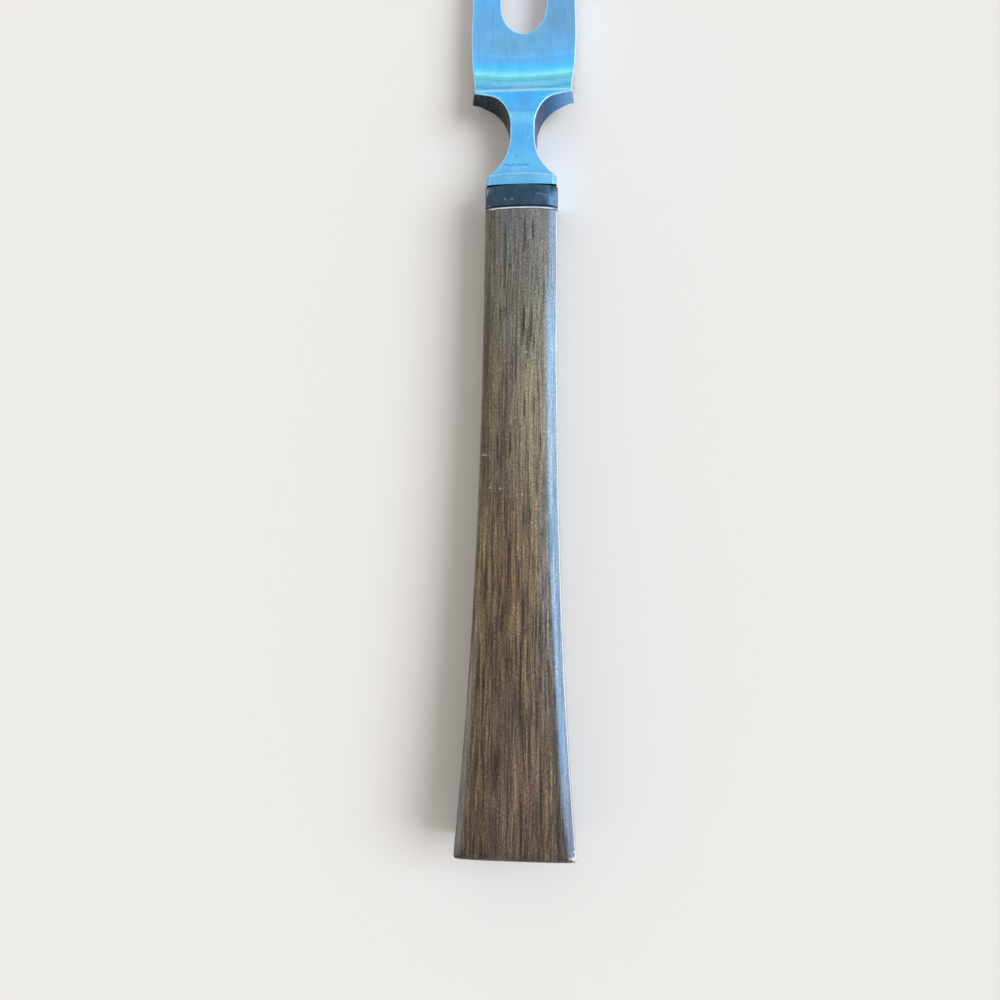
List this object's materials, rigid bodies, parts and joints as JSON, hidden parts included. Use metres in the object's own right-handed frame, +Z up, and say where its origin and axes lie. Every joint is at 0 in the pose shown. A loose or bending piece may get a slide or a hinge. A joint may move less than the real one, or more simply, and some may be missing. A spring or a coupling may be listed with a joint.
{
  "type": "carving fork",
  "caption": "Carving fork with a forged steel head, long bowed tines, a ridged shoulder and a slim neck, its tang cemented into a flared wooden handle behind a black collar.",
  "frame": {"origin": "bottom centre of the whole fork's box, on the surface that it lies on", "axes": "+Y along the fork from the butt of the handle to the points of the tines, +Z up out of the top face, +X to the right"},
  "size_m": [0.0234, 0.2706, 0.015],
  "materials": {
    "stainless_steel": "polished forging with fine scratches",
    "black_plastic": "worn gloss",
    "pale_fibre": "satin",
    "walnut": "satin lacquer, open grain",
    "resin_cement": "cast"
  },
  "bodies": {
    "root": {"fork_head": "stainless_steel", "black_collar": "black_plastic", "pale_liner": "pale_fibre", "wood_handle": "walnut", "tang_cement": "resin_cement"}
  },
  "joints": []
}
